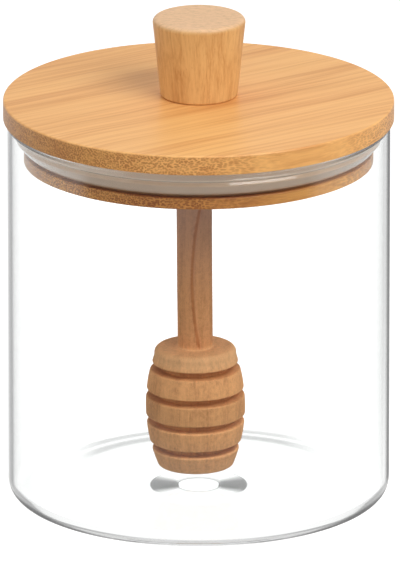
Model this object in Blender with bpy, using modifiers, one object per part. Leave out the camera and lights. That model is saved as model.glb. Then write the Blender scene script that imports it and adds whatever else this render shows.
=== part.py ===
"""Glass honey jar with a bamboo lid, its silicone seal, a wooden knob and the dipper under the lid.

Metres, +Z up. The origin is the centre of the circle that the jar stands on.
"""

import math

import bpy

MM = 0.001
GAP = 0.3 * MM  # between pieces that touch

# Glass jar
JAR_RADIUS = 49.0 * MM
WALL = 1.6 * MM
FLOOR_THICKNESS = 2.2 * MM
FOOT_CORNER = 4.2 * MM  # outside, from the wall to the foot
FLOOR_CORNER = 2.7 * MM  # inside, from the wall to the floor
DIMPLE_RADIUS = 12.3 * MM  # the shallow dish under the middle of the foot
DIMPLE_DEPTH = 0.6 * MM

# Bamboo lid: a disc with a plug under it
LID_TOP = 105.5 * MM
LID_THICKNESS = 5.1 * MM
LID_RADIUS = 50.0 * MM
LID_TOP_EDGE = 0.45 * MM
LID_LOWER_EDGE = 0.2 * MM
PLUG_RADIUS = 44.7 * MM
PLUG_DEPTH = 10.5 * MM
PLUG_EDGE = 0.5 * MM
PLUG_RIM = 2.7 * MM  # the wood that shows under the seal
SEAL_GROOVE = 2.45 * MM  # how far the plug is cut back for the seal

# Silicone seal round the plug
SEAL_TOP_RADIUS = 45.6 * MM
SEAL_LIP_RADIUS = 47.1 * MM
SEAL_FOOT_RADIUS = 45.1 * MM
SEAL_LIP_HEIGHT = 2.4 * MM  # of the widest line over the seal's lower end
SEAL_LIP_ROUND = 0.5 * MM

# Knob on the lid
KNOB_HEIGHT = 20.4 * MM
KNOB_TOP_RADIUS = 12.0 * MM
KNOB_FOOT_RADIUS = 9.85 * MM
KNOB_TOP_EDGE = 1.3 * MM
KNOB_FOOT_EDGE = 0.6 * MM
KNOB_PLACE = (0.1 * MM, 3.2 * MM)  # on the lid, a little behind its middle

# Honey dipper: a stem and a barrel with turned grooves
STEM_RADIUS = 4.55 * MM
STEM_LENGTH = 50.4 * MM
STEM_PLACE = (-1.2 * MM, 0.0)
DIPPER_LEAN = math.radians(0.35)
BARREL_LENGTH = 31.7 * MM
BARREL_RADIUS = 12.8 * MM
BARREL_BULGE = 41.5 * MM  # radius of the arc that the barrel's side follows
BARREL_WIDEST = 15.8 * MM  # below the barrel's top
BARREL_TOP_EDGE = 1.4 * MM
BARREL_LOWER_EDGE = 0.7 * MM
GROOVE_COUNT = 4
GROOVE_FIRST = 5.1 * MM  # from the barrel's top to the middle of the first groove
GROOVE_PITCH = 7.0 * MM
GROOVE_WIDTH = 1.8 * MM
GROOVE_DEPTH = 3.0 * MM
RING_EDGE = 0.45 * MM

# Segments round each piece, and points along a rounded edge
JAR_STEPS = 64
KNOB_STEPS = 48
DIPPER_STEPS = 40
CORNER_POINTS = 6
EDGE_POINTS = 4
MERGE = 0.00001

LID_UNDERSIDE = LID_TOP - LID_THICKNESS
JAR_HEIGHT = LID_UNDERSIDE - GAP
PLUG_FOOT = LID_UNDERSIDE - PLUG_DEPTH


def clear_scene():
    """Removes every object of the open scene."""
    for thing in list(bpy.data.objects):
        bpy.data.objects.remove(thing, do_unlink=True)


def linear(red, green, blue):
    """A linear colour from a display colour in 0 to 255."""
    shares = [value / 255 for value in (red, green, blue)]
    return [s / 12.92 if s <= 0.04045 else ((s + 0.055) / 1.055) ** 2.4 for s in shares]


def finish(name, colour, roughness, clear=0.0, ior=1.5):
    """A Principled material. clear is the share of light that goes through."""
    material = bpy.data.materials.new(name)
    material.use_nodes = True
    shader = material.node_tree.nodes["Principled BSDF"]
    shader.inputs["Base Color"].default_value = (*linear(*colour), 1.0)
    shader.inputs["Roughness"].default_value = roughness
    shader.inputs["Metallic"].default_value = 0.0
    shader.inputs["Transmission Weight"].default_value = clear
    shader.inputs["IOR"].default_value = ior
    material.diffuse_color = (*linear(*colour), 1.0 - 0.6 * clear)
    return material


def arc(centre, radius, start, end, count):
    """Points of an arc in the profile's plane, with angles in degrees from +X towards +Z."""
    points = []
    for index in range(count + 1):
        angle = math.radians(start + (end - start) * index / count)
        points.append(
            (centre[0] + radius * math.cos(angle), centre[1] + radius * math.sin(angle))
        )
    return points


def turned(name, profile, steps, material, closed=False):
    """A body turned about Z from (radius, height) points, which run down its outer side."""
    mesh = bpy.data.meshes.new(name)
    vertices = [(radius, 0.0, height) for radius, height in profile]
    edges = [(index, index + 1) for index in range(len(profile) - 1)]
    if closed:
        edges.append((len(profile) - 1, 0))
    mesh.from_pydata(vertices, edges, [])
    body = bpy.data.objects.new(name, mesh)
    screw = body.modifiers.new("Turn", "SCREW")
    screw.axis = "Z"
    screw.angle = math.tau
    screw.steps = steps
    screw.render_steps = steps
    screw.use_merge_vertices = True
    screw.merge_threshold = MERGE
    screw.use_smooth_shade = True
    body.data.materials.append(material)
    return body


def glass_jar(material):
    """The jar in one wall: floor, inner side, round rim, outer side, foot and centre dimple."""
    inner = JAR_RADIUS - WALL
    rim = WALL / 2
    dish = (DIMPLE_RADIUS**2 + DIMPLE_DEPTH**2) / (2 * DIMPLE_DEPTH)
    dish_angle = math.degrees(math.asin(DIMPLE_RADIUS / dish))
    profile = [(0.0, FLOOR_THICKNESS)]
    profile += arc(
        (inner - FLOOR_CORNER, FLOOR_THICKNESS + FLOOR_CORNER), FLOOR_CORNER, -90, 0, CORNER_POINTS
    )
    profile += arc((JAR_RADIUS - rim, JAR_HEIGHT - rim), rim, 180, 0, CORNER_POINTS)
    profile += arc((JAR_RADIUS - FOOT_CORNER, FOOT_CORNER), FOOT_CORNER, 0, -90, CORNER_POINTS)
    profile += arc((0.0, DIMPLE_DEPTH - dish), dish, 90 - dish_angle, 90, EDGE_POINTS)
    return turned("glass_jar", profile, JAR_STEPS, material)


def bamboo_lid(material):
    """The disc and its plug, cut back where the seal sits."""
    core = PLUG_RADIUS - SEAL_GROOVE
    upper = LID_TOP - LID_TOP_EDGE
    lower = LID_UNDERSIDE + LID_LOWER_EDGE
    foot = PLUG_FOOT + PLUG_EDGE
    profile = [(0.0, LID_TOP)]
    profile += arc((LID_RADIUS - LID_TOP_EDGE, upper), LID_TOP_EDGE, 90, 0, EDGE_POINTS)
    profile += arc((LID_RADIUS - LID_LOWER_EDGE, lower), LID_LOWER_EDGE, 0, -90, EDGE_POINTS)
    profile += [(core, LID_UNDERSIDE), (core, PLUG_FOOT + PLUG_RIM)]
    profile += [(PLUG_RADIUS, PLUG_FOOT + PLUG_RIM)]
    profile += arc((PLUG_RADIUS - PLUG_EDGE, foot), PLUG_EDGE, 0, -90, EDGE_POINTS)
    profile += [(0.0, PLUG_FOOT)]
    return turned("bamboo_lid", profile, JAR_STEPS, material)


def seal_ring(material):
    """The ring in the plug's groove, widest at its lip, which nearly meets the glass."""
    inner = PLUG_RADIUS - SEAL_GROOVE + GAP
    top = LID_UNDERSIDE - GAP
    foot = PLUG_FOOT + PLUG_RIM + GAP
    lip = (SEAL_LIP_RADIUS - SEAL_LIP_ROUND, foot + SEAL_LIP_HEIGHT)
    profile = [(inner, top), (SEAL_TOP_RADIUS, top)]
    profile += arc(lip, SEAL_LIP_ROUND, 25, -50, EDGE_POINTS)
    profile += [(SEAL_FOOT_RADIUS, foot + MM), (SEAL_FOOT_RADIUS, foot), (inner, foot)]
    return turned("seal_ring", profile, JAR_STEPS, material, closed=True)


def lid_knob(material):
    """The knob, wider at its top, standing on the lid."""
    foot = LID_TOP + GAP
    top = foot + KNOB_HEIGHT
    upper = (KNOB_TOP_RADIUS - KNOB_TOP_EDGE, top - KNOB_TOP_EDGE)
    lower = (KNOB_FOOT_RADIUS - KNOB_FOOT_EDGE, foot + KNOB_FOOT_EDGE)
    profile = [(0.0, top)]
    profile += arc(upper, KNOB_TOP_EDGE, 90, 0, CORNER_POINTS)
    profile += arc(lower, KNOB_FOOT_EDGE, 0, -90, EDGE_POINTS)
    profile += [(0.0, foot)]
    knob = turned("lid_knob", profile, KNOB_STEPS, material)
    knob.location = (*KNOB_PLACE, 0.0)
    return knob


def barrel_radius(depth):
    """The barrel's radius at a depth below its top, on one arc from end to end."""
    rise = depth - BARREL_WIDEST
    return BARREL_RADIUS - BARREL_BULGE + math.sqrt(BARREL_BULGE**2 - rise**2)


def barrel_rings():
    """Where each ring of the barrel starts and ends, below the barrel's top."""
    edges = [0.0]
    for index in range(GROOVE_COUNT):
        middle = GROOVE_FIRST + index * GROOVE_PITCH
        edges += [middle - GROOVE_WIDTH / 2, middle + GROOVE_WIDTH / 2]
    edges.append(BARREL_LENGTH)
    return list(zip(edges[0::2], edges[1::2], strict=True))


def honey_dipper(material):
    """Stem and grooved barrel in one turned piece, hanging from the plug at a slight lean."""
    profile = [(0.0, 0.0), (STEM_RADIUS, 0.0)]
    rings = barrel_rings()
    for index, (start, end) in enumerate(rings):
        top_edge = BARREL_TOP_EDGE if index == 0 else RING_EDGE
        low_edge = BARREL_LOWER_EDGE if index == len(rings) - 1 else RING_EDGE
        points = EDGE_POINTS if index == 0 else 2
        if index == 0:
            root = STEM_RADIUS
        else:
            root = barrel_radius(start) - GROOVE_DEPTH
        top = -STEM_LENGTH - start
        low = -STEM_LENGTH - end
        upper = (barrel_radius(start + top_edge) - top_edge, top - top_edge)
        lower = (barrel_radius(end - low_edge) - low_edge, low + low_edge)
        profile.append((root, top))
        profile += arc(upper, top_edge, 90, 0, points)
        middle = (start + top_edge + end - low_edge) / 2
        profile.append((barrel_radius(middle), -STEM_LENGTH - middle))
        profile += arc(lower, low_edge, 0, -90, 2)
        if index < len(rings) - 1:
            profile.append((barrel_radius(end) - GROOVE_DEPTH, low))
    profile.append((0.0, -STEM_LENGTH - BARREL_LENGTH))
    dipper = turned("honey_dipper", profile, DIPPER_STEPS, material)
    dipper.location = (*STEM_PLACE, PLUG_FOOT - GAP)
    dipper.rotation_euler = (0.0, -DIPPER_LEAN, 0.0)
    return dipper


def main():
    """Builds the jar and its lid in one collection."""
    clear_scene()
    glass = finish("clear_glass", (247, 250, 249), 0.02, clear=1.0, ior=1.47)
    bamboo = finish("laminated_bamboo", (242, 184, 118), 0.45)
    silicone = finish("grey_silicone", (158, 141, 124), 0.3, clear=0.15, ior=1.41)
    knob_wood = finish("pale_wood", (216, 162, 105), 0.5)
    dipper_wood = finish("beech_wood", (188, 134, 88), 0.55)
    pieces = [
        glass_jar(glass),
        bamboo_lid(bamboo),
        seal_ring(silicone),
        lid_knob(knob_wood),
        honey_dipper(dipper_wood),
    ]
    collection = bpy.data.collections.new("honey_jar")
    bpy.context.scene.collection.children.link(collection)
    for piece in pieces:
        collection.objects.link(piece)


if __name__ == "__main__":
    main()
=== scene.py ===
"""A glass honey jar with its bamboo lid, laid out as an add-on and run as a script.

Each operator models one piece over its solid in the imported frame, in metres and with +Z up.
"""

import math

import bmesh
import bpy
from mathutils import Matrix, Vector, noise


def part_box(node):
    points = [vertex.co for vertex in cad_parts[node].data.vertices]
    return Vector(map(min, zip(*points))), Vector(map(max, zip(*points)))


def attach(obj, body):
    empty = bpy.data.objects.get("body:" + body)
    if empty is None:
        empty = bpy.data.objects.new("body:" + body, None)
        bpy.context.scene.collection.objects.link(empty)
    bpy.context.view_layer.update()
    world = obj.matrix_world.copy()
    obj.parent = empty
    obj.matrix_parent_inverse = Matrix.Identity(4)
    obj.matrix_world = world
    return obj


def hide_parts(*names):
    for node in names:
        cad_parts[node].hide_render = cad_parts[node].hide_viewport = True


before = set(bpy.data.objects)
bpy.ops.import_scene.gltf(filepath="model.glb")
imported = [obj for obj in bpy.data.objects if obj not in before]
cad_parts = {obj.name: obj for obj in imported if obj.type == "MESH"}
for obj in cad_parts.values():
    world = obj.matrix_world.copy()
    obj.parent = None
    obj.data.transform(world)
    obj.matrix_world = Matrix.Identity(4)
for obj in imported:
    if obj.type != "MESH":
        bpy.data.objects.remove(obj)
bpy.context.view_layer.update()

bl_info = {
    "name": "Honey jar",
    "version": (1, 0, 0),
    "blender": (4, 5, 0),
    "location": "3D View > Sidebar > Honey jar",
    "description": "Models a glass honey jar with a bamboo lid, a knob and a dipper",
    "category": "Object",
}

MM = 0.001
BODY = "root"

# Places and reaches of the solids that the pieces stand for
JAR_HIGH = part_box("glass_jar")[1]
LID_LOW, LID_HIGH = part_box("bamboo_lid")
SEAL_LOW, SEAL_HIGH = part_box("seal_ring")
KNOB_LOW, KNOB_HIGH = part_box("lid_knob")
DIPPER_LOW, DIPPER_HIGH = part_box("honey_dipper")
KNOB_MIDDLE = (KNOB_LOW + KNOB_HIGH) / 2

# Some of them in millimetres, as the materials use them
JAR_REACH, JAR_TOP = JAR_HIGH.x / MM, JAR_HIGH.z / MM
LID_FOOT, LID_TOP = LID_LOW.z / MM, LID_HIGH.z / MM
LID_MIDDLE = (LID_LOW.z + LID_HIGH.z) / 2 / MM
SEAL_FOOT, SEAL_TOP = SEAL_LOW.z / MM, SEAL_HIGH.z / MM
KNOB_HALF = (KNOB_HIGH.z - KNOB_MIDDLE.z) / MM
DIPPER_FOOT = DIPPER_LOW.z / MM

# Fineness of the meshes
ROUND_STEPS = 8  # along a rounded corner
HOLD = 0.15 * MM  # how close to a corner a straight side is held straight
WELD = 0.001 * MM
JAR_SEGMENTS = 256
SMALL_SEGMENTS = 128
SHARP_ANGLE = math.radians(50)
TOUCH = 0.04 * MM  # what the fine pieces leave where the solids leave more

# The rings that the pressing left in the dish under the jar
RIPPLES = 17
RIPPLE_STEP = 0.034  # from one to the next, as a share of the dish's radius
RIPPLE_LOW = 0.05 * MM
RIPPLE_ROUND = 0.06 * MM
RIPPLE_ZONE = (15.0, 14.0)  # millimetres from the axis where the painted glow of the ripples sets in

# The glass's painted marks in millimetres: a painted dark ring and painted reflection arcs
FINE_RING = 5.8  # radius of a painted dark ring among the ripples
ARC_CENTRE = 2.0  # right of the axis
ARCS = ((42.7, 2.4, 0.5), (38.0, 2.8, 0.6))  # radius, reach of its fading edge and of its core

# The seal's side in millimetres: inside its lip, below its top or above its foot, and rounding
SEAL_UPPER = ((0.7, 0.0, 0.2), (0.7, 0.9, 0.3), (0.1, 2.2, 0.3), (0.9, 2.6, 0.2), (0.4, 3.5, 0.4))
SEAL_LOWER = ((1.9, 1.5, 0.5), (2.4, 0.9, 0.3), (4.0, 0.4, 0.2), (4.1, 0.0, 0.0))

# Small roundings of the wood
PLUG_LEDGE_EDGE = 0.3 * MM
KNOB_FOOT_EDGE = 0.6 * MM
STEM_EDGE = 0.4 * MM
RING_UPPER_EDGE = 0.5 * MM
RING_LOWER_EDGE = 0.35 * MM
BARREL_FOOT_EDGE = 0.6 * MM
GROOVE_EDGE = 0.3 * MM
SHOULDER = 13.6 * MM  # higher than this above its widest place the barrel narrows no more

# Tints that a ground is multiplied by in places, and tones that are mixed into it
# Painted shade on the plug under the disc, at its ledge under the seal, and on the disc's left edge
PLUG_FRONT_SHADE_TINT = (0.73, 0.6, 0.43)
PLUG_SIDES_SHADE_TINT = (0.95, 0.9, 0.68)
PLUG_LEDGE_SHADE_TINT = (0.6, 0.44, 0.28)
DISC_LEFT_SHADE_TINT = (0.76, 0.7, 0.56)
# Painted shade in the barrel's grooves
GROOVE_SHADE_TINT = (0.78, 0.7, 0.58)
# Painted light on the barrel's crown
CROWN_LIGHT_TONE = (1.0, 0.68, 0.38)
THIRD_RING_TINT = (0.88, 0.88, 0.88)
STEM_TINT = (0.88, 0.84, 0.84)
# Painted shade of the lid on the stem's top
STEM_TOP_SHADE_TONE = (0.5, 0.42, 0.44)
GROWTH_LINE_TINT = (0.82, 0.64, 0.56)
# Painted light on the seal's upper band
SEAL_TOP_LIGHT_TONE = (1.0, 0.88, 0.76)
# Painted shade at the seal's foot under its lip
SEAL_FOOT_SHADE_TINT = (0.7, 0.5, 0.34)

# Softboxes: name, bearing from the camera's side to the right, elevation, size, power, distance
SOFTBOXES = (
    ("key_softbox", 43, 45, (0.55, 0.5), 4.3, 0.8),
    ("left_softbox", -62, 26, (0.5, 0.6), 0.95, 0.9),
    ("top_softbox", 205, 68, (0.8, 0.8), 2.1, 0.9),
)

# The photograph's view: its frame is 400 x 562 pixels
VIEW_ELEVATION = math.radians(17.82)
VIEW_DISTANCE = 4.143
FRAME_HEIGHT = 144.1 * MM  # what the picture's height spans at the jar
SENSOR = 36.0
AIM = Vector((0.00035, 0.0, 0.05642))


class JarSizes(bpy.types.PropertyGroup):
    """Sizes of the glass."""

    wall: bpy.props.FloatProperty(
        name="Wall", description="Thickness of the glass wall", default=1.6 * MM, unit="LENGTH"
    )
    floor: bpy.props.FloatProperty(
        name="Floor", description="Thickness of the glass floor", default=2.2 * MM, unit="LENGTH"
    )
    foot_corner: bpy.props.FloatProperty(
        name="Foot corner",
        description="Outer rounding between the wall and the foot",
        default=4.2 * MM,
        unit="LENGTH",
    )
    floor_corner: bpy.props.FloatProperty(
        name="Floor corner",
        description="Inner rounding between the wall and the floor",
        default=2.7 * MM,
        unit="LENGTH",
    )
    dimple_radius: bpy.props.FloatProperty(
        name="Dimple radius",
        description="Radius of the dish under the middle of the foot",
        default=12.4 * MM,
        unit="LENGTH",
    )
    dimple_depth: bpy.props.FloatProperty(
        name="Dimple depth",
        description="Depth of the dish under the middle of the foot",
        default=0.8 * MM,
        unit="LENGTH",
    )


class LidSizes(bpy.types.PropertyGroup):
    """Sizes of the lid, its seal and its knob."""

    disc: bpy.props.FloatProperty(
        name="Disc", description="Thickness of the lid's disc", default=5.1 * MM, unit="LENGTH"
    )
    plug_radius: bpy.props.FloatProperty(
        name="Plug radius",
        description="Radius of the plug under the disc",
        default=44.7 * MM,
        unit="LENGTH",
    )
    plug_rim: bpy.props.FloatProperty(
        name="Plug rim",
        description="Height of the wood that shows under the seal",
        default=3.0 * MM,
        unit="LENGTH",
    )
    seal_groove: bpy.props.FloatProperty(
        name="Seal groove",
        description="How far the plug is cut back for the seal",
        default=3.05 * MM,
        unit="LENGTH",
    )
    top_edge: bpy.props.FloatProperty(
        name="Top edge", description="Rounding of the lid's top edge", default=0.45 * MM, unit="LENGTH"
    )
    lower_edge: bpy.props.FloatProperty(
        name="Lower edge",
        description="Rounding of the lid's lower edges",
        default=0.2 * MM,
        unit="LENGTH",
    )
    knob_foot: bpy.props.FloatProperty(
        name="Knob foot", description="Radius of the knob's foot", default=9.85 * MM, unit="LENGTH"
    )
    knob_edge: bpy.props.FloatProperty(
        name="Knob edge", description="Rounding of the knob's top", default=1.3 * MM, unit="LENGTH"
    )
    grain: bpy.props.FloatProperty(
        name="Grain",
        description="Direction of the bamboo's grain",
        default=math.radians(35),
        unit="ROTATION",
    )


class DipperSizes(bpy.types.PropertyGroup):
    """Sizes of the honey dipper."""

    stem_radius: bpy.props.FloatProperty(
        name="Stem", description="Radius of the stem", default=4.55 * MM, unit="LENGTH"
    )
    barrel_radius: bpy.props.FloatProperty(
        name="Barrel", description="Largest radius of the barrel", default=12.8 * MM, unit="LENGTH"
    )
    barrel_length: bpy.props.FloatProperty(
        name="Barrel length", description="Height of the barrel", default=31.7 * MM, unit="LENGTH"
    )
    widest: bpy.props.FloatProperty(
        name="Widest",
        description="Where the barrel is widest, below its top",
        default=15.8 * MM,
        unit="LENGTH",
    )
    bulge: bpy.props.FloatProperty(
        name="Bulge", description="Radius of the barrel's side", default=41.5 * MM, unit="LENGTH"
    )
    head_edge: bpy.props.FloatProperty(
        name="Head edge", description="Rounding of the barrel's top", default=1.5 * MM, unit="LENGTH"
    )
    first_groove: bpy.props.FloatProperty(
        name="First groove",
        description="Depth of the first groove below the barrel's top",
        default=5.0 * MM,
        unit="LENGTH",
    )
    pitch: bpy.props.FloatProperty(
        name="Pitch", description="Distance between two grooves", default=7.0 * MM, unit="LENGTH"
    )
    grooves: bpy.props.IntProperty(
        name="Grooves", description="Number of turned grooves", default=4, min=1
    )
    groove_width: bpy.props.FloatProperty(
        name="Groove width", description="Width of a groove", default=1.8 * MM, unit="LENGTH"
    )
    groove_depth: bpy.props.FloatProperty(
        name="Groove depth", description="Depth of a groove", default=3.0 * MM, unit="LENGTH"
    )
    lean: bpy.props.FloatProperty(
        name="Lean",
        description="Lean of the stem to the right",
        default=math.radians(0.35),
        unit="ROTATION",
    )


def display(red, green, blue):
    """A linear colour from a display colour in 0 to 255."""
    shares = [value / 255 for value in (red, green, blue)]
    return tuple(s / 12.92 if s <= 0.04045 else ((s + 0.055) / 1.055) ** 2.4 for s in shares)


def colour_property(name, description, default):
    """A colour swatch for the panel."""
    return bpy.props.FloatVectorProperty(
        name=name, description=description, default=default, subtype="COLOR", size=3, min=0, max=1
    )


class FinishColours(bpy.types.PropertyGroup):
    """Colours of the woods, the seal and the glass."""

    bamboo: colour_property("Bamboo", "Pale ground of the bamboo", display(246, 187, 115))
    bamboo_streak: colour_property("Bamboo streak", "Long streaks on the lid", display(218, 148, 80))
    bamboo_end: colour_property("Bamboo edge", "Ground of the lid's edge", display(248, 186, 110))
    bamboo_dot: colour_property("Bamboo fibre", "Fibre ends on the lid's edge", display(176, 108, 54))
    knob: colour_property("Knob wood", "Ground of the knob", display(226, 178, 114))
    knob_streak: colour_property("Knob streak", "Fine streaks of the knob", display(194, 138, 78))
    # The knob's top colour is its end grain together with a painted sheen.
    knob_end_and_sheen: colour_property("Knob top", "Pale end grain of the knob", display(233, 190, 146))
    dipper: colour_property("Dipper wood", "Ground of the dipper", display(247, 182, 122))
    dipper_streak: colour_property("Dipper streak", "Grain lines of the dipper", display(172, 110, 66))
    silicone: colour_property("Silicone", "The seal", display(229, 199, 171))
    glass: colour_property("Glass", "The glass's faint tint", (0.985, 0.995, 0.99))
    # The next three tints are painted on the glass: shade where the wall is seen aslant, reflection arcs at
    # the back of the floor, and shade where the wall is seen edge on.
    glass_aslant_shade: colour_property("Glass haze", "Tint of the wall seen aslant", (0.78, 0.785, 0.785))
    glass_arc_reflection: colour_property("Glass arcs", "Tint of the arcs at the back of the floor", (0.34, 0.34, 0.34))
    glass_edge_shade: colour_property("Glass edge", "Tint of the wall seen edge on", (0.02, 0.021, 0.022))


class HoneyJar(bpy.types.PropertyGroup):
    """Everything that a user can change."""

    jar: bpy.props.PointerProperty(type=JarSizes, name="Jar", description="Sizes of the glass")
    lid: bpy.props.PointerProperty(type=LidSizes, name="Lid", description="Sizes of the lid")
    dipper: bpy.props.PointerProperty(
        type=DipperSizes, name="Dipper", description="Sizes of the honey dipper"
    )
    colours: bpy.props.PointerProperty(
        type=FinishColours, name="Colours", description="Colours of the materials"
    )


class Signal:
    """A shader socket that Python's operators work on, each adding its Math node."""

    def __init__(self, recipe, socket):
        self.recipe = recipe
        self.socket = socket

    def maths(self, operation, *values):
        """This signal and the values through one Math node."""
        return self.recipe.make("Math", {"operation": operation}, dict(enumerate(values)))

    def __add__(self, other):
        return self.maths("ADD", self, other)

    def __sub__(self, other):
        return self.maths("SUBTRACT", self, other)

    def __mul__(self, other):
        return self.maths("MULTIPLY", self, other)

    def __truediv__(self, other):
        return self.maths("DIVIDE", self, other)

    def __pow__(self, other):
        return self.maths("POWER", self, other)

    def __rsub__(self, other):
        return self.maths("SUBTRACT", other, self)

    __radd__ = __add__
    __rmul__ = __mul__

    def size(self):
        """The value without its sign."""
        return self.maths("ABSOLUTE", self)

    def larger(self, other):
        """The larger of this and another value."""
        return self.maths("MAXIMUM", self, other)

    def step(self, start, end):
        """A smooth step from 0 at start to 1 at end."""
        settings = {"interpolation_type": "SMOOTHSTEP"}
        low, high, first, last = (start, end, 0.0, 1.0) if start < end else (end, start, 1.0, 0.0)
        values = {"Value": self, "From Min": low, "From Max": high, "To Min": first, "To Max": last}
        return self.recipe.make("MapRange", settings, values)


class Recipe:
    """A node tree, of a new material or of the tree given."""

    def __init__(self, name="", tree=None):
        if not tree:
            self.material = bpy.data.materials.new(name)
            self.material.use_nodes = True
            tree = self.material.node_tree
            self.shader = tree.nodes["Principled BSDF"]
            self.end = tree.nodes["Material Output"]
        self.tree = tree

    def make(self, kind, settings=None, values=None, output=0):
        """Adds a node, sets it up, feeds its sockets and gives one output as a Signal."""
        node = self.tree.nodes.new("ShaderNode" + kind)
        for name, value in (settings or {}).items():
            setattr(node, name, value)
        for name, value in (values or {}).items():
            self.feed(node.inputs[name], value)
        return Signal(self, node.outputs[output])

    def feed(self, socket, value):
        """Links a Signal to a socket, or sets a plain value on it."""
        if isinstance(value, Signal):
            self.tree.links.new(value.socket, socket)
        elif isinstance(value, tuple) and len(value) == 3 and socket.type == "RGBA":
            socket.default_value = (*value, 1.0)
        else:
            socket.default_value = value

    def plain(self, **values):
        """Sets constants on the Principled shader, named with underscores for spaces."""
        for name, value in values.items():
            self.feed(self.shader.inputs[name.replace("_", " ")], value)

    def mix(self, share, first, second):
        """A colour between two, by a share from 0 to 1."""
        settings = {"data_type": "RGBA"}
        return self.make("Mix", settings, {0: share, 6: first, 7: second}, output=2)

    def darker(self, share, ground, tint):
        """A colour multiplied by a tint, by a share from 0 to 1."""
        settings = {"data_type": "RGBA", "blend_type": "MULTIPLY"}
        return self.make("Mix", settings, {0: share, 6: ground, 7: tint}, output=2)

    def blend(self, share, first, second):
        """A shader between two, by a share from 0 to 1."""
        return self.make("MixShader", values={0: share, 1: first, 2: second})

    def glow(self, strength):
        """White light of an even strength."""
        return self.make("Emission", values={"Strength": strength})

    def ray(self, output):
        """What is known of the ray that sees a point."""
        return self.make("LightPath", output=output)

    def place(self, angle=0.0, centre=(0.0, 0.0, 0.0)):
        """Object coordinates in millimetres about a centre, turned so that X runs along angle."""
        here = self.make("TexCoord", output="Object")
        settings = {"operation": "SUBTRACT"}
        shifted = self.make("VectorMath", settings, {0: here, 1: centre})
        values = {"Vector": shifted, "Rotation": (0.0, 0.0, -angle), "Scale": (1000, 1000, 1000)}
        return self.make("Mapping", {"vector_type": "POINT"}, values)

    def split(self, vector):
        """The three parts of a vector."""
        node = self.make("SeparateXYZ", values={0: vector}).socket.node
        return [Signal(self, output) for output in node.outputs]

    def join(self, *parts):
        """A vector from three parts."""
        return self.make("CombineXYZ", values=dict(enumerate(parts)))

    def noise(self, vector, scale=1.0, detail=2.0, rough=0.5):
        """Soft noise about 0.5."""
        values = {"Vector": vector, "Scale": scale, "Detail": detail, "Roughness": rough}
        return self.make("TexNoise", {"noise_dimensions": "3D"}, values)

    def bump(self, height, strength, distance):
        """Feeds a height to the shader's normal. distance is in metres."""
        values = {"Height": height, "Strength": strength, "Distance": distance}
        self.feed(self.shader.inputs["Normal"], self.make("Bump", values=values))


class GlassSpot:
    """Where a point of the glass lies, in millimetres, and how it is seen."""

    def __init__(self, recipe):
        self.x, self.y, self.up = recipe.split(recipe.place())
        self.radius = (self.x * self.x + self.y * self.y) ** 0.5
        self.across = self.x.size() / self.radius  # 0 in front and behind, 1 at the sides
        self.right = self.x.step(10.0, 40.0)
        self.ripples = self.radius.step(*RIPPLE_ZONE)
        self.facing = recipe.make("LayerWeight", values={"Blend": 0.5}, output="Facing")
        self.camera = recipe.ray("Is Camera Ray")
        outside = self.radius.step(JAR_REACH - 1.0, JAR_REACH - 0.3) * self.up.step(3.0, 6.0)
        self.outside = outside * self.camera


def glass_tint(recipe, colours, spot):
    """Clear, with painted shade where the wall is seen aslant, darker painted shade nearly edge on, and two
    painted reflection arcs on the floor.
    """
    # Painted shade on the outer wall: grey where it is seen aslant, nearly black where it is seen edge on.
    bend = spot.facing - spot.right * 0.05
    edge = bend.step(0.725, 0.8) * bend.step(0.97, 0.88)
    aslant_shade = spot.facing.step(0.3, 0.68) * (1 - spot.right)
    tint = recipe.mix(aslant_shade * spot.outside, tuple(colours.glass), tuple(colours.glass_aslant_shade))
    tint = recipe.mix(edge * spot.outside, tint, tuple(colours.glass_edge_shade))
    # Painted reflection: two grey arcs at the back of the floor.
    reach = ((spot.x - ARC_CENTRE) ** 2 + spot.y * spot.y) ** 0.5
    outer, inner = ((reach - radius).size().step(start, end) for radius, start, end in ARCS)
    rear = spot.y.step(10.0, 25.0) * spot.x.step(-36.0, -24.0) * spot.x.step(36.0, 20.0)
    rear = rear * spot.up.step(1.5, 2.0) * spot.up.step(3.4, 2.8)
    return recipe.mix(outer.larger(inner) * rear, tint, tuple(colours.glass_arc_reflection))


def painted_trapped_glow(recipe, spot):
    """A painted glow standing in for light trapped in the glass: pale, and dusky towards the sides."""
    aside = spot.across.step(0.3, 0.9) * 0.6 * (1 - spot.ripples)
    aside = aside + spot.across.step(0.78, 0.92) * spot.ripples
    return recipe.blend(aside, recipe.glow(0.75), recipe.glow(0.2))


def painted_dark_lines(spot):
    """Painted shade that darkens the glass at its heel, its right wall, its brim and its mark."""
    side = spot.x.size()
    heel = spot.radius.step(46.0, 47.5) * spot.up.step(4.0, 2.5)
    heel = heel * spot.facing.step(0.5, 0.7) * side.step(12.0, 34.0)
    right = spot.outside * spot.facing.step(0.83, 0.88) * spot.right
    brim = spot.up.step(JAR_TOP - 1.2, JAR_TOP - 0.9) * spot.up.step(JAR_TOP - 0.2, JAR_TOP - 0.5)
    brim = brim * spot.radius.step(48.0, 48.6) * side.step(30.0, 43.0)
    below = spot.up.step(1.5, 1.0)
    fans = spot.radius.step(12.8, 12.2) * spot.radius.step(5.0, 6.5)
    fans = fans * spot.across.step(0.8, 0.94) * below
    ring = (spot.radius - FINE_RING).size().step(0.7, 0.2) * below
    walls = spot.camera * (heel * 0.75).larger(right * 0.58).larger(brim * 0.7)
    return walls.larger(fans * 0.5).larger(ring * 0.22)


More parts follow.
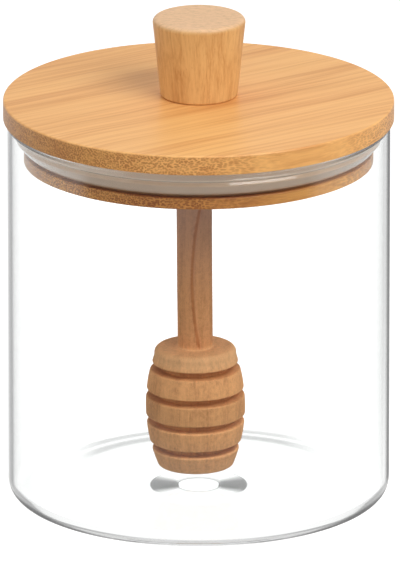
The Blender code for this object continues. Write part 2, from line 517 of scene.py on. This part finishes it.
def clear_glass(colours):
    """Polished clear glass that lets soft light and shadows through as a window does."""
    recipe = Recipe("clear_glass")
    recipe.plain(Transmission_Weight=1.0, IOR=1.47, Roughness=0.0)
    spot = GlassSpot(recipe)
    recipe.plain(Base_Color=glass_tint(recipe, colours, spot))
    # Painted light: after several bounces, and sooner under the ripples, a glow takes the glass's place.
    painted_glow_share = (recipe.ray("Ray Depth") + spot.ripples).step(4.0, 5.0)
    clear = Signal(recipe, recipe.shader.outputs[0])
    clear = recipe.blend(painted_glow_share, clear, painted_trapped_glow(recipe, spot))
    # Painted shade: a dim glow takes the glass's place along the dark lines.
    clear = recipe.blend(painted_dark_lines(spot), clear, recipe.glow(0.08))
    window = recipe.make("BsdfTransparent", values={"Color": (0.97, 0.975, 0.97)})
    passing = recipe.ray("Is Shadow Ray").larger(recipe.ray("Is Diffuse Ray"))
    recipe.feed(recipe.end.inputs[0], recipe.blend(passing, clear, window))
    return recipe.material


def fibre_ends(recipe, along, across, up):
    """Dots, thick in some strips and faint where the edge runs along the fibres."""
    wander = recipe.noise(recipe.join(along * 0.08, across * 0.3, up * 0.3), detail=1.0)
    cells = recipe.join(across + (wander - 0.5) * 1.6, up + (wander - 0.5) * 0.8, 0.0)
    settings = {"voronoi_dimensions": "2D", "feature": "F1"}
    nearest = recipe.make("TexVoronoi", settings, {"Vector": cells, "Scale": 1.9, "Randomness": 0.85})
    patch = recipe.noise(recipe.join(along * 0.02, across * 0.25, up * 0.8), detail=1.0)
    facing_end = along.size().step(6.0, 32.0)
    return nearest.step(0.6, 0.25) * (0.5 + patch.step(0.3, 0.6) * 0.5) * (0.15 + facing_end * 0.85)


def painted_edge_shade(recipe, ground, up, depth, under):
    """Painted shade on the plug's side, most in front and at its ledge, and on the disc's left edge."""
    x, _, _ = recipe.split(recipe.place())
    sides = x.size().step(10.0, 38.0)
    ground = recipe.darker(under * (1 - sides), ground, PLUG_FRONT_SHADE_TINT)
    ground = recipe.darker(under * sides, ground, PLUG_SIDES_SHADE_TINT)
    ledge = up.step(LID_FOOT + 2.6, LID_FOOT + 2.95) * under * (1 - sides * 0.6)
    ground = recipe.darker(ledge, ground, PLUG_LEDGE_SHADE_TINT)
    left = x.step(-8.0, -40.0) * depth * (1 - under)
    return recipe.darker(left, ground, DISC_LEFT_SHADE_TINT)


def bamboo(colours, grain):
    """Laminated bamboo: long pale streaks, with the fibres' ends as dots wherever they are cut."""
    recipe = Recipe("laminated_bamboo")
    along, across, up = recipe.split(recipe.place(angle=grain))
    drift = recipe.noise(recipe.join(along * 0.03, across * 0.05, up * 0.02), detail=1.0)
    across = across + (drift - 0.5) * 2.5
    broad = recipe.noise(recipe.join(along * 0.006, across * 0.14, up * 0.1), detail=2.0)
    streaks = recipe.noise(recipe.join(along * 0.014, across * 0.75, up * 0.75), detail=3.0, rough=0.6)
    fine = recipe.noise(recipe.join(along * 0.05, across * 4.0, up * 4.0), detail=2.0)
    tone = (broad - 0.5) * 1.1 + (streaks - 0.5) * 1.7 + (fine - 0.5) * 0.6
    streak = tuple(colours.bamboo_streak)
    face = recipe.mix((tone + 0.36).step(0.0, 1.0), tuple(colours.bamboo), streak)
    edge = recipe.mix((tone + 0.3).step(0.0, 1.0), tuple(colours.bamboo_end), streak)
    depth = up.step(LID_TOP - 0.1, LID_TOP - 0.7)
    under = up.step(LID_MIDDLE, LID_MIDDLE - 2.0)
    dots = fibre_ends(recipe, along, across, up)
    ground = recipe.mix(depth, face, edge)
    ground = recipe.mix(dots * depth * (0.75 + under * 0.25), ground, tuple(colours.bamboo_dot))
    recipe.plain(Base_Color=painted_edge_shade(recipe, ground, up, depth, under))
    recipe.plain(Roughness=0.42 + (fine - 0.5) * 0.2)
    recipe.bump(fine * 0.5 + streaks * 0.3 - dots * depth * 0.5, 0.35, 0.00012)
    return recipe.material


def knob_wood(colours):
    """Pale wood with upright grain, fine streaks and small dark pores, and a paler end-grain top with
    painted sheen.
    """
    recipe = Recipe("pale_wood")
    x, y, up = recipe.split(recipe.place(centre=tuple(KNOB_MIDDLE)))
    drift = recipe.noise(recipe.join(x * 0.12, y * 0.12, up * 0.05), detail=1.0)
    broad = recipe.noise(recipe.join(x * 0.22, y * 0.22, up * 0.03), detail=2.0)
    streaks = recipe.noise(recipe.join((x + drift * 3) * 1.6, (y + drift * 3) * 1.6, up * 0.05), detail=3.0)
    fine = recipe.noise(recipe.join(x * 5.0, y * 5.0, up * 0.3), detail=2.0)
    tone = (broad - 0.5) * 1.2 + (streaks - 0.5) * 1.3 + (fine - 0.5) * 0.7
    ground = recipe.mix((tone + 0.4).step(0.0, 1.0), tuple(colours.knob), tuple(colours.knob_streak))
    cells = {"Vector": recipe.join(x * 1.2, y * 1.2, up * 0.35), "Scale": 1.0, "Randomness": 1.0}
    marks = recipe.make("TexVoronoi", {"feature": "F1"}, cells).step(0.15, 0.06)
    side = recipe.mix(marks * 0.4, ground, tuple(colours.bamboo_dot))
    end = tuple(colours.knob_end_and_sheen)
    mottle = recipe.noise(recipe.join(x * 0.5, y * 1.4, up * 0.5), detail=4.0, rough=0.7)
    cut = recipe.mix(mottle.step(0.42, 0.68), end, tuple(value * 0.8 for value in end))
    # The top face: paler end grain, with painted sheen of the light from above.
    top = up.step(KNOB_HALF - 1.0, KNOB_HALF - 0.2)
    recipe.plain(Base_Color=recipe.mix(top, side, cut))
    recipe.plain(Roughness=0.5 + (fine - 0.5) * 0.2)
    recipe.bump(fine * 0.6 + streaks * 0.4 - marks * 0.4, 0.35, 0.0001)
    return recipe.material


def barrel_shades(recipe, ground, radius, up, head):
    """The barrel's grooves darkened by painted shade, its crown lightened and warmed by painted light, and
    its darker third ring.
    """
    barrel = up.step(DIPPER_FOOT + 2.5, DIPPER_FOOT + 3.5) * up.step(head - 2.5, head - 3.5)
    ground = recipe.darker(radius.step(10.6, 9.4) * barrel, ground, GROOVE_SHADE_TINT)
    # Painted light: the crown is mixed towards a pale warm tone.
    crown = up.step(head - 5.0, head - 2.0) * up.step(head + 1.5, head)
    ground = recipe.mix(crown * 0.25, ground, CROWN_LIGHT_TONE)
    third = up.step(head - 19.5, head - 18.5) * up.step(head - 12.0, head - 13.0)
    return recipe.darker(third, ground, THIRD_RING_TINT)


def stem_shades(recipe, ground, x, up, head):
    """The darker stem, with painted shade greying its top under the lid, and one dark growth line that
    curves up it.
    """
    stem = up.step(head, head + 1.5)
    ground = recipe.darker(stem, ground, STEM_TINT)
    # Painted shade: the stem's top under the lid is mixed towards a grey tone.
    ground = recipe.mix(up.step(head + 10.0, LID_FOOT) * 0.5, ground, STEM_TOP_SHADE_TONE)
    rise = up - (head + 19.0)
    line = (x - rise * rise * 0.0055 + 0.9).size().step(0.6, 0.15) * stem
    return recipe.darker(line, ground, GROWTH_LINE_TINT)


def dipper_wood(colours, head):
    """Turned hardwood: upright grain, one dark growth line in the stem, painted shade in the grooves."""
    recipe = Recipe("turned_wood")
    spot = recipe.place(centre=((DIPPER_LOW.x + DIPPER_HIGH.x) / 2, 0.0, 0.0))
    x, y, up = recipe.split(spot)
    drift = recipe.noise(recipe.join(x * 0.1, y * 0.1, up * 0.04), detail=1.0)
    rings = recipe.noise(recipe.join((x + drift * 4) * 0.5, (y + drift * 4) * 0.2, up * 0.02), detail=3.0)
    streaks = recipe.noise(recipe.join(x * 1.8, y * 1.8, up * 0.06), detail=3.0)
    fine = recipe.noise(recipe.join(x * 5.0, y * 5.0, up * 0.35), detail=2.0)
    mottle = recipe.noise(spot, scale=0.9, detail=4.0, rough=0.75)
    tone = (rings - 0.5) * 0.7 + (streaks - 0.5) * 0.5 + (fine - 0.5) * 0.4 + (mottle - 0.5) * 0.9
    ground = recipe.mix((tone + 0.35).step(0.0, 1.1), tuple(colours.dipper), tuple(colours.dipper_streak))
    radius = (x * x + y * y) ** 0.5 + (mottle - 0.5) * 1.2
    ground = barrel_shades(recipe, ground, radius, up, head)
    ground = stem_shades(recipe, ground, x + (mottle - 0.5) * 0.5, up, head)
    recipe.plain(Base_Color=ground)
    recipe.plain(Roughness=0.7 + (fine - 0.5) * 0.2, Specular_IOR_Level=0.25)
    recipe.bump(fine * 0.6 + streaks * 0.4, 0.4, 0.0001)
    return recipe.material


def silicone(colours):
    """Smooth grey silicone that lets a little light in, with painted light on its upper band and painted
    shade under its lip.
    """
    recipe = Recipe("grey_silicone")
    cloud = recipe.noise(recipe.place(), scale=0.12, detail=2.0)
    pale = tuple(colours.silicone)
    ground = recipe.mix(cloud, tuple(value * 0.86 for value in pale), pale)
    x, _, up = recipe.split(recipe.place())
    # Painted light: the upper band is mixed towards a pale tone.
    high = up.step(SEAL_TOP - 3.0, SEAL_TOP - 2.0)
    ground = recipe.mix(high * 0.7, ground, SEAL_TOP_LIGHT_TONE)
    # Painted shade at the foot under the lip, less towards the sides.
    low = up.step(SEAL_FOOT + 1.2, SEAL_FOOT + 0.7) * (1 - x.size().step(16.0, 40.0) * 0.6)
    recipe.plain(Base_Color=recipe.darker(low, ground, SEAL_FOOT_SHADE_TINT), IOR=1.41)
    recipe.plain(Roughness=0.12 + cloud * 0.08, Coat_Weight=0.9 * (1 - low), Coat_Roughness=0.04)
    recipe.plain(Subsurface_Weight=0.25, Subsurface_Radius=(0.6, 0.5, 0.4), Subsurface_Scale=0.002)
    return recipe.material


def pale_floor():
    """A white tabletop: bright to the eye, also through glass, and dimmer as a light from below."""
    recipe = Recipe("pale_floor")
    recipe.plain(Base_Color=(0.5, 0.5, 0.5), Roughness=0.9)
    recipe.plain(Emission_Color=(1.0, 1.0, 1.0), Emission_Strength=0.75)
    x, y, _ = recipe.split(recipe.place())
    behind = y.step(-160.0, -80.0) * (1 - x.step(30.0, 130.0) * 0.3)
    direct = Signal(recipe, recipe.shader.outputs[0])
    seen = recipe.blend(recipe.ray("Is Transmission Ray"), direct, recipe.glow(1.45))
    table = recipe.blend(behind, recipe.glow(0.12), recipe.glow(1.05))
    seen = recipe.blend(recipe.ray("Glossy Depth").step(0.4, 0.6), seen, table)
    dim = recipe.make("BsdfDiffuse", values={"Color": (0.3, 0.29, 0.28)})
    recipe.feed(recipe.end.inputs[0], recipe.blend(recipe.ray("Is Diffuse Ray"), seen, dim))
    return recipe.material


def studio_world():
    """White to the eye; as a light, bright at the horizon and dim overhead."""
    world = bpy.data.worlds.new("studio")
    world.use_nodes = True
    recipe = Recipe(tree=world.node_tree)
    _, depth, rise = recipe.split(recipe.make("TexCoord", output="Generated"))
    low = rise.step(0.5, 0.1)
    behind = depth.step(-0.2, 0.5)
    passed = recipe.ray("Is Transmission Ray")
    polished = recipe.ray("Glossy Depth").step(0.4, 0.6)
    strength = 0.28 + low * (0.66 - polished * (1 - behind) * 0.55) + passed * (1 - polished) * 0.15
    white = (1.0, 1.0, 1.0)
    room = recipe.make("Background", values={"Color": white, "Strength": strength})
    backdrop = recipe.make("Background", values={"Color": white, "Strength": 1.15})
    end = world.node_tree.nodes["World Output"]
    recipe.feed(end.inputs[0], recipe.blend(recipe.ray("Is Camera Ray"), room, backdrop))
    return world


def corner_offset(before, corner, after, radius):
    """How far along its sides a corner's rounding starts."""
    turn = (corner - before).angle(after - corner)
    return radius * math.tan(turn / 2)


def draw_outline(mesh, corners, closed=False):
    """Joins (radius, height, rounding) corners into a wire and rounds those that ask for it."""
    points = [mesh.verts.new((radius, 0.0, height)) for radius, height, _ in corners]
    places = [point.co.copy() for point in points]
    for first, second in zip(points, points[1:]):
        mesh.edges.new((first, second))
    if closed:
        mesh.edges.new((points[-1], points[0]))
    for index, (_, _, rounding) in enumerate(corners):
        if not rounding:
            continue
        before, after = places[index - 1], places[(index + 1) % len(places)]
        bmesh.ops.bevel(
            mesh,
            geom=[points[index]],
            offset=corner_offset(before, places[index], after, rounding),
            offset_type="OFFSET",
            segments=ROUND_STEPS,
            profile=0.5,
            affect="VERTICES",
            material=-1,
        )


def hold_straight(mesh):
    """Splits each long side close to its ends, which keeps a corner's shading in the corner."""
    for edge in [edge for edge in mesh.edges if edge.calc_length() > 6 * HOLD]:
        for end in list(edge.verts):
            share = HOLD / edge.calc_length()
            made, _ = bmesh.utils.edge_split(edge, end, share)
            if made.calc_length() > edge.calc_length():
                edge = made


def turned(corners, segments, closed=False, round_step=None):
    """A piece turned about Z from its outline, with its faces pointing out."""
    mesh = bmesh.new()
    draw_outline(mesh, corners, closed)
    hold_straight(mesh)
    if round_step:
        for edge in [edge for edge in mesh.edges if edge.calc_length() > 2 * round_step]:
            cuts = int(edge.calc_length() / round_step)
            bmesh.ops.subdivide_edges(mesh, edges=[edge], cuts=cuts)
    bmesh.ops.spin(
        mesh,
        geom=mesh.verts[:] + mesh.edges[:],
        cent=(0, 0, 0),
        axis=(0, 0, 1),
        angle=math.tau,
        steps=segments,
        use_merge=True,
    )
    bmesh.ops.remove_doubles(mesh, verts=mesh.verts[:], dist=WELD)
    bmesh.ops.recalc_face_normals(mesh, faces=mesh.faces[:])
    return mesh


def as_piece(mesh, name, material, node):
    """Makes a bmesh an object that rides on the jar and stands for a solid."""
    data = bpy.data.meshes.new(name)
    mesh.to_mesh(data)
    mesh.free()
    data.shade_smooth()
    data.set_sharp_from_angle(angle=SHARP_ANGLE)
    data.materials.append(material)
    piece = bpy.data.objects.new(name, data)
    bpy.context.scene.collection.objects.link(piece)
    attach(piece, BODY)
    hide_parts(node)
    return piece


def uneven(mesh, amount, scale, seed):
    """Moves the points sideways by soft noise, as hand-turned wood is never quite round."""
    noise.seed_set(seed)
    for point in mesh.verts:
        push = noise.noise_vector(point.co * scale) * amount
        point.co += Vector((push.x, push.y, push.z * 0.4))


class HONEYJAR_OT_glass(bpy.types.Operator):
    """Turn the clear glass jar"""

    bl_idname = "honeyjar.glass"
    bl_label = "Glass jar"

    def execute(self, context):
        sizes = context.scene.honey_jar.jar
        radius = JAR_HIGH.x
        inner = radius - sizes.wall
        rim = JAR_HIGH.z
        half = sizes.wall / 2 * 0.98  # the rim's two roundings nearly meet
        corners = [
            (0.0, sizes.floor, 0.0),
            (inner, sizes.floor, sizes.floor_corner),
            (inner, rim, half),
            (radius, rim, half),
            (radius, 0.0, sizes.foot_corner),
            *self.ripples(sizes),
            (0.0, sizes.dimple_depth / 2, 0.0),
        ]
        mesh = turned(corners, JAR_SEGMENTS)
        glass = clear_glass(context.scene.honey_jar.colours)
        as_piece(mesh, "glass_body", glass, "glass_jar")
        return {"FINISHED"}

    def ripples(self, sizes):
        """The rings that the pressing left under the middle of the foot, from outside in."""
        step = sizes.dimple_radius * RIPPLE_STEP
        corners = [(sizes.dimple_radius, 0.0, RIPPLE_ROUND)]
        for index in range(1, RIPPLES + 1):
            height = sizes.dimple_depth / 2 if index % 2 else RIPPLE_LOW
            corners.append((sizes.dimple_radius - index * step, height, RIPPLE_ROUND))
        return corners


class HONEYJAR_OT_lid(bpy.types.Operator):
    """Turn the bamboo disc with its plug"""

    bl_idname = "honeyjar.lid"
    bl_label = "Bamboo lid"

    def execute(self, context):
        sizes = context.scene.honey_jar.lid
        top, foot, radius = LID_HIGH.z, LID_LOW.z, LID_HIGH.x
        under = top - sizes.disc
        core = sizes.plug_radius - sizes.seal_groove
        rim = foot + sizes.plug_rim
        corners = [
            (0.0, top, 0.0),
            (radius, top, sizes.top_edge),
            (radius, under, sizes.lower_edge),
            (core, under, 0.0),
            (core, rim, 0.0),
            (sizes.plug_radius, rim, PLUG_LEDGE_EDGE),
            (sizes.plug_radius, foot, sizes.lower_edge),
            (0.0, foot, 0.0),
        ]
        mesh = turned(corners, JAR_SEGMENTS, round_step=2 * MM)
        colours = context.scene.honey_jar.colours
        as_piece(mesh, "lid_board", bamboo(colours, sizes.grain), "bamboo_lid")
        return {"FINISHED"}


class HONEYJAR_OT_seal(bpy.types.Operator):
    """Turn the silicone ring round the plug, with its two ridges and its lip"""

    bl_idname = "honeyjar.seal"
    bl_label = "Silicone seal"

    def execute(self, context):
        sizes = context.scene.honey_jar.lid
        inner = sizes.plug_radius - sizes.seal_groove + TOUCH
        top, foot, lip = SEAL_HIGH.z, SEAL_LOW.z, SEAL_HIGH.x
        upper = [(lip - inset * MM, top - drop * MM, edge * MM) for inset, drop, edge in SEAL_UPPER]
        lower = [(lip - inset * MM, foot + rise * MM, edge * MM) for inset, rise, edge in SEAL_LOWER]
        corners = [(inner, top, 0.0), *upper, *lower, (inner, foot, 0.0)]
        mesh = turned(corners, JAR_SEGMENTS, closed=True)
        rubber = silicone(context.scene.honey_jar.colours)
        as_piece(mesh, "seal_band", rubber, "seal_ring")
        return {"FINISHED"}


class HONEYJAR_OT_knob(bpy.types.Operator):
    """Turn the tapered knob"""

    bl_idname = "honeyjar.knob"
    bl_label = "Knob"

    def execute(self, context):
        sizes = context.scene.honey_jar.lid
        top = KNOB_HIGH.z
        foot = LID_HIGH.z + TOUCH
        radius = (KNOB_HIGH.x - KNOB_LOW.x) / 2
        corners = [
            (0.0, top, 0.0),
            (radius, top, sizes.knob_edge),
            (sizes.knob_foot, foot, KNOB_FOOT_EDGE),
            (0.0, foot, 0.0),
        ]
        mesh = turned(corners, SMALL_SEGMENTS, round_step=1.5 * MM)
        uneven(mesh, amount=0.05 * MM, scale=120.0, seed=3)
        bmesh.ops.translate(mesh, verts=mesh.verts[:], vec=(KNOB_MIDDLE.x, KNOB_MIDDLE.y, 0.0))
        as_piece(mesh, "knob", knob_wood(context.scene.honey_jar.colours), "lid_knob")
        return {"FINISHED"}


class HONEYJAR_OT_dipper(bpy.types.Operator):
    """Turn the honey dipper, its stem and its grooved barrel in one"""

    bl_idname = "honeyjar.dipper"
    bl_label = "Honey dipper"

    def execute(self, context):
        sizes = context.scene.honey_jar.dipper
        mesh = turned(self.outline(sizes), SMALL_SEGMENTS, round_step=1.2 * MM)
        uneven(mesh, amount=0.07 * MM, scale=90.0, seed=11)
        hang = Vector((0.0, 0.0, LID_LOW.z - TOUCH))
        lean = Vector((0.0, 0.0, -1.0)).rotation_difference(
            Vector((math.sin(sizes.lean), 0.0, -math.cos(sizes.lean)))
        )
        bmesh.ops.rotate(mesh, verts=mesh.verts[:], cent=hang, matrix=lean.to_matrix())
        bmesh.ops.translate(mesh, verts=mesh.verts[:], vec=(self.stem_place(sizes), 0.0, 0.0))
        colours = context.scene.honey_jar.colours
        wood = dipper_wood(colours, (DIPPER_LOW.z + sizes.barrel_length) / MM)
        as_piece(mesh, "dipper", wood, "honey_dipper")
        return {"FINISHED"}

    def stem_place(self, sizes):
        """Where the stem leaves the plug, from the reach of the barrel under it."""
        reach = (LID_LOW.z - DIPPER_LOW.z - sizes.barrel_length / 2) * math.sin(sizes.lean)
        return (DIPPER_LOW.x + DIPPER_HIGH.x) / 2 - reach

    def outline(self, sizes):
        """The stem, then ring by ring down the barrel."""
        top = LID_LOW.z - TOUCH
        foot = DIPPER_LOW.z
        head = foot + sizes.barrel_length

        def reach(height):
            rise = min(height - (head - sizes.widest), SHOULDER)
            return sizes.barrel_radius - sizes.bulge + math.sqrt(sizes.bulge**2 - rise**2)

        stem = sizes.stem_radius
        corners = [(0.0, top, 0.0), (stem, top, 0.0), (stem, head, STEM_EDGE)]
        start = head
        for index in range(sizes.grooves + 1):
            last = index == sizes.grooves
            middle = head - sizes.first_groove - index * sizes.pitch
            end = foot if last else middle + sizes.groove_width / 2
            upper_round = sizes.head_edge if index == 0 else RING_UPPER_EDGE
            lower_round = BARREL_FOOT_EDGE if last else RING_LOWER_EDGE
            corners.append((reach(start), start, upper_round))
            span = start - end
            for share in (0.4, 0.6):
                corners.append((reach(start - share * span), start - share * span, 0.0))
            corners.append((reach(end), end, lower_round))
            if not last:
                floor = reach(middle) - sizes.groove_depth
                start = middle - sizes.groove_width / 2
                corners += [(floor, end, GROOVE_EDGE), (floor, start, GROOVE_EDGE)]
        corners.append((0.0, foot, 0.0))
        return corners


class HONEYJAR_OT_stage(bpy.types.Operator):
    """Lay the pale floor, hang the soft lights and set up the camera"""

    bl_idname = "honeyjar.stage"
    bl_label = "Floor, lights and camera"

    def execute(self, context):
        scene = context.scene
        self.lay_floor(scene)
        scene.world = studio_world()
        for softbox in SOFTBOXES:
            self.hang(scene, *softbox)
        self.set_camera(scene)
        scene.view_settings.view_transform = "Standard"
        scene.view_settings.look = "None"
        return {"FINISHED"}

    def lay_floor(self, scene):
        """A round pale tabletop just under the foot."""
        mesh = bmesh.new()
        bmesh.ops.create_circle(mesh, cap_ends=True, radius=3.0, segments=96)
        data = bpy.data.meshes.new("pale_floor")
        mesh.to_mesh(data)
        mesh.free()
        data.materials.append(pale_floor())
        floor = bpy.data.objects.new("pale_floor", data)
        floor.location = (0.0, 0.0, -0.02 * MM)
        scene.collection.objects.link(floor)

    def hang(self, scene, name, bearing, height, size, power, distance):
        """A softbox at a bearing and height round the jar, facing the jar's middle."""
        data = bpy.data.lights.new(name, "AREA")
        data.shape = "RECTANGLE"
        data.size, data.size_y = size
        data.energy = power
        lamp = bpy.data.objects.new(name, data)
        turn, rise = math.radians(bearing), math.radians(height)
        away = Vector((math.sin(turn) * math.cos(rise), -math.cos(turn) * math.cos(rise), math.sin(rise)))
        lamp.location = AIM + away * distance
        lamp.rotation_euler = (-away).to_track_quat("-Z", "Y").to_euler()
        scene.collection.objects.link(lamp)

    def set_camera(self, scene):
        """A camera far in front of the jar, a little above it."""
        data = bpy.data.cameras.new("camera")
        data.sensor_width = SENSOR
        half = math.atan(FRAME_HEIGHT / 2 / VIEW_DISTANCE)
        data.lens = SENSOR / 2 / math.tan(half)
        data.clip_start, data.clip_end = 0.1, 20.0
        camera = bpy.data.objects.new("camera", data)
        back = Vector((0.0, -math.cos(VIEW_ELEVATION), math.sin(VIEW_ELEVATION)))
        camera.location = AIM + back * VIEW_DISTANCE
        camera.rotation_euler = (-back).to_track_quat("-Z", "Y").to_euler()
        scene.collection.objects.link(camera)
        scene.camera = camera


class VIEW3D_PT_honey_jar(bpy.types.Panel):
    """Sizes, colours and the operators"""

    bl_label = "Honey jar"
    bl_space_type = "VIEW_3D"
    bl_region_type = "UI"
    bl_category = "Honey jar"

    def draw(self, context):
        layout = self.layout
        for operator in OPERATORS:
            layout.operator(operator.bl_idname)
        for group in ("jar", "lid", "dipper", "colours"):
            box = layout.box()
            settings = getattr(context.scene.honey_jar, group)
            for name in settings.__annotations__:
                box.prop(settings, name)


GROUPS = (JarSizes, LidSizes, DipperSizes, FinishColours, HoneyJar)
OPERATORS = (
    HONEYJAR_OT_glass,
    HONEYJAR_OT_lid,
    HONEYJAR_OT_seal,
    HONEYJAR_OT_knob,
    HONEYJAR_OT_dipper,
    HONEYJAR_OT_stage,
)


def register():
    """Registers the groups, the operators and the panel."""
    for kind in (*GROUPS, *OPERATORS, VIEW3D_PT_honey_jar):
        bpy.utils.register_class(kind)
    bpy.types.Scene.honey_jar = bpy.props.PointerProperty(type=HoneyJar)


def unregister():
    """Takes them out again, in reverse."""
    del bpy.types.Scene.honey_jar
    for kind in reversed((*GROUPS, *OPERATORS, VIEW3D_PT_honey_jar)):
        bpy.utils.unregister_class(kind)


def main():
    """Builds every piece in order."""
    register()
    for operator in OPERATORS:
        group, name = operator.bl_idname.split(".")
        getattr(getattr(bpy.ops, group), name)()


if __name__ == "__main__":
    main()
